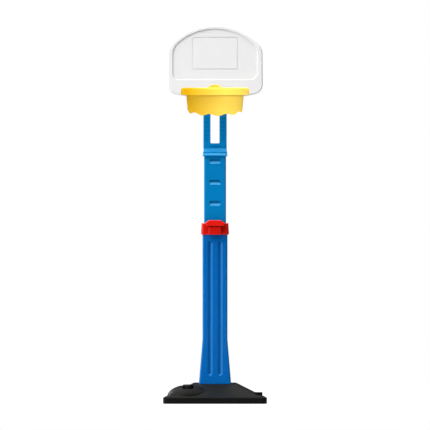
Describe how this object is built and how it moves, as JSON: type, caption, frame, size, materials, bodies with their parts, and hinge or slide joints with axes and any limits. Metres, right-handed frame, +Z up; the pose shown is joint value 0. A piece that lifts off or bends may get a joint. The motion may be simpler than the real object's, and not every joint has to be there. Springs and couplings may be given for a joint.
{
  "type": "adjustable basketball stand",
  "caption": "Junior basketball stand: ballast tank, telescoping post with a ratchet latch, slotted neck, sliding backboard and a ring with a lobed sleeve.",
  "frame": {"origin": "middle of the base's footprint, on the floor and under the posts", "axes": "+Z up, -Y towards the hoop, +X on the right of someone who faces the board"},
  "size_m": [0.433, 0.571, 1.5789],
  "materials": {
    "black_tank": "satin blow-moulded polyethylene",
    "black_fittings": "satin moulded plastic",
    "seal_rubber": "matt",
    "blue_post": "satin blow-moulded polyethylene",
    "light_blue_post": "semi-gloss moulded plastic",
    "red_collar": "semi-gloss moulded plastic",
    "bright_red_latch": "semi-gloss moulded plastic",
    "white_board": "satin moulded plastic",
    "yellow_hoop": "semi-gloss moulded plastic",
    "zinc_steel": "zinc-plated",
    "brass_insert": "turned"
  },
  "bodies": {
    "stand": {"base_tank": "black_tank", "base_screw_1": "zinc_steel", "base_screw_2": "zinc_steel", "base_screw_3": "zinc_steel", "base_screw_4": "zinc_steel", "lower_post": "blue_post", "collar": "red_collar", "collar_screw_1": "zinc_steel", "collar_screw_2": "zinc_steel", "latch_pin": "zinc_steel", "latch_spring": "zinc_steel"},
    "seal": {"filler_seal": "seal_rubber"},
    "cap": {"filler_cap": "black_fittings"},
    "latch": {"latch_lever": "bright_red_latch"},
    "upper_post": {"inner_post": "light_blue_post", "glide_shoe": "black_fittings", "neck": "light_blue_post", "neck_screw_1": "zinc_steel", "neck_screw_2": "zinc_steel"},
    "board": {"backboard": "white_board", "hoop_rim": "yellow_hoop", "hoop_skirt": "yellow_hoop", "hoop_screw_1": "zinc_steel", "hoop_screw_2": "zinc_steel", "slot_guide": "black_fittings", "guide_screw_1": "zinc_steel", "guide_screw_2": "zinc_steel", "clamp_bolt": "zinc_steel", "clamp_plate": "black_fittings", "clamp_washer": "zinc_steel"},
    "knob": {"clamp_knob": "black_fittings", "knob_insert": "brass_insert"}
  },
  "joints": [
    {"name": "cap_lift", "type": "slide", "parent": "stand", "child": "seal", "axis": [0, 0, 1], "range_m": [0, 0.0091]},
    {"name": "cap_turn", "type": "hinge", "parent": "seal", "child": "cap", "pos_m": [-0.113, -0.098, 0.058], "axis": [0, 0, 1], "range_deg": [0, 540]},
    {"name": "latch_release", "type": "hinge", "parent": "stand", "child": "latch", "pos_m": [0, -0.0495, 0.7165], "axis": [1, 0, 0], "range_deg": [0, 12], "stiffness_Nm_per_rad": 0.25, "springref_deg": -20.05, "deforming": ["latch_spring"]},
    {"name": "inner_post_slide", "type": "slide", "parent": "stand", "child": "upper_post", "axis": [0, 0, 1], "range_m": [-0.264, 0]},
    {"name": "board_slide", "type": "slide", "parent": "upper_post", "child": "board", "axis": [0, 0, 1], "range_m": [-0.1557, 0.0692]},
    {"name": "knob_turn", "type": "hinge", "parent": "board", "child": "knob", "pos_m": [0, 0.0265, 1.3025], "axis": [0, 1, 0], "continuous": true}
  ],
  "couplings": [
    {"joint": "cap_lift", "follows": "cap_turn", "m_per_rad": 0.000955}
  ]
}
